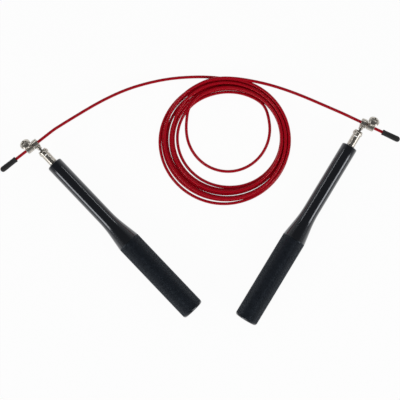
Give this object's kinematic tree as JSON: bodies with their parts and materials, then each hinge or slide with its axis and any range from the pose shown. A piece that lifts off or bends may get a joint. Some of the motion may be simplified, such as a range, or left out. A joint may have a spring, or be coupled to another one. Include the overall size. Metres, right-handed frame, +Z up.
{
  "type": "jump rope",
  "caption": "Speed jump rope: ball-bearing aluminium handles with knurled grips, pivoting eye links, screw clamps and a coiled coated steel cable.",
  "frame": {"origin": "on the floor, under the middle of the box around the two handles with their forks and eye links", "axes": "+Z up from the floor; +X from the left handle to the right one; +Y from the grips' butt ends towards the coil"},
  "size_m": [0.3328, 0.209, 0.02],
  "materials": {
    "black_anodised": "polished black anodised aluminium with a knurled grip",
    "black_plastic": "moulded black plastic",
    "nickel_plate": "bright nickel plate on turned and cast pieces",
    "screw_steel": "nickel-plated steel screw",
    "bearing_steel": "ground and polished bearing steel",
    "spring_steel": "dark spring steel",
    "cable_jacket": "glossy red jacket over a steel strand",
    "cap_rubber": "matte black rubber"
  },
  "bodies": {
    "rope": {"cable_coil": "cable_jacket", "left_cable_run": "cable_jacket", "left_cable_clamp": "nickel_plate", "left_end_cap": "cap_rubber", "right_cable_run": "cable_jacket", "right_cable_clamp": "nickel_plate", "right_end_cap": "cap_rubber"},
    "left_screw": {"left_clamp_screw": "screw_steel"},
    "left_link": {"left_eye_link": "nickel_plate"},
    "left_yoke": {"left_fork": "nickel_plate", "left_pivot_pin": "nickel_plate", "left_front_inner_race": "bearing_steel", "left_rear_inner_race": "bearing_steel", "left_inner_spacer": "nickel_plate", "left_washer": "nickel_plate", "left_lock_nut": "nickel_plate"},
    "left_handle": {"left_shell": "black_anodised", "left_butt_plug": "black_plastic", "left_snap_ring": "spring_steel", "left_front_outer_race": "bearing_steel", "left_rear_outer_race": "bearing_steel", "left_outer_spacer": "nickel_plate", "left_bearing_shields": "bearing_steel"},
    "left_ball_set": {"left_front_balls": "bearing_steel", "left_rear_balls": "bearing_steel"},
    "right_screw": {"right_clamp_screw": "screw_steel"},
    "right_link": {"right_eye_link": "nickel_plate"},
    "right_yoke": {"right_fork": "nickel_plate", "right_pivot_pin": "nickel_plate", "right_front_inner_race": "bearing_steel", "right_rear_inner_race": "bearing_steel", "right_inner_spacer": "nickel_plate", "right_washer": "nickel_plate", "right_lock_nut": "nickel_plate"},
    "right_handle": {"right_shell": "black_anodised", "right_butt_plug": "black_plastic", "right_snap_ring": "spring_steel", "right_front_outer_race": "bearing_steel", "right_rear_outer_race": "bearing_steel", "right_outer_spacer": "nickel_plate", "right_bearing_shields": "bearing_steel"},
    "right_ball_set": {"right_front_balls": "bearing_steel", "right_rear_balls": "bearing_steel"}
  },
  "joints": [
    {"name": "left_eye_swivel", "type": "hinge", "parent": "rope", "child": "left_link", "pos_m": [-0.13651, 0.0649, 0.01], "axis": [-0.7889, -0.6146, 0], "range_deg": [-175, 65]},
    {"name": "left_yoke_fold", "type": "hinge", "parent": "left_link", "child": "left_yoke", "pos_m": [-0.12961, 0.05766, 0.01], "axis": [0.7242, 0.6896, 0], "range_deg": [-90, 90]},
    {"name": "left_handle_spin", "type": "hinge", "parent": "left_yoke", "child": "left_handle", "pos_m": [-0.11582, 0.04317, 0.01], "axis": [-0.6896, 0.7242, 0], "continuous": true},
    {"name": "left_ball_spin", "type": "hinge", "parent": "left_yoke", "child": "left_ball_set", "pos_m": [-0.11582, 0.04317, 0.01], "axis": [-0.6896, 0.7242, 0], "continuous": true},
    {"name": "left_screw_turn", "type": "hinge", "parent": "rope", "child": "left_screw", "pos_m": [-0.1414, 0.06109, 0.01], "axis": [-0.3525, 0.4525, 0.8192], "range_deg": [0, 1080]},
    {"name": "right_eye_swivel", "type": "hinge", "parent": "rope", "child": "right_link", "pos_m": [0.1367, 0.08209, 0.01], "axis": [0.9041, -0.4272, 0], "range_deg": [-65, 175]},
    {"name": "right_yoke_fold", "type": "hinge", "parent": "right_link", "child": "right_yoke", "pos_m": [0.13154, 0.07353, 0.01], "axis": [-0.8563, 0.5165, 0], "range_deg": [-90, 90]},
    {"name": "right_handle_spin", "type": "hinge", "parent": "right_yoke", "child": "right_handle", "pos_m": [0.12121, 0.0564, 0.01], "axis": [0.5165, 0.8563, 0], "continuous": true},
    {"name": "right_ball_spin", "type": "hinge", "parent": "right_yoke", "child": "right_ball_set", "pos_m": [0.12121, 0.0564, 0.01], "axis": [0.5165, 0.8563, 0], "continuous": true},
    {"name": "right_screw_turn", "type": "hinge", "parent": "rope", "child": "right_screw", "pos_m": [0.14231, 0.07944, 0.01], "axis": [0.2451, 0.5186, 0.8192], "range_deg": [0, 1080]}
  ],
  "couplings": [
    {"joint": "left_ball_spin", "follows": "left_handle_spin", "ratio": 0.62857},
    {"joint": "right_ball_spin", "follows": "right_handle_spin", "ratio": 0.62857}
  ]
}
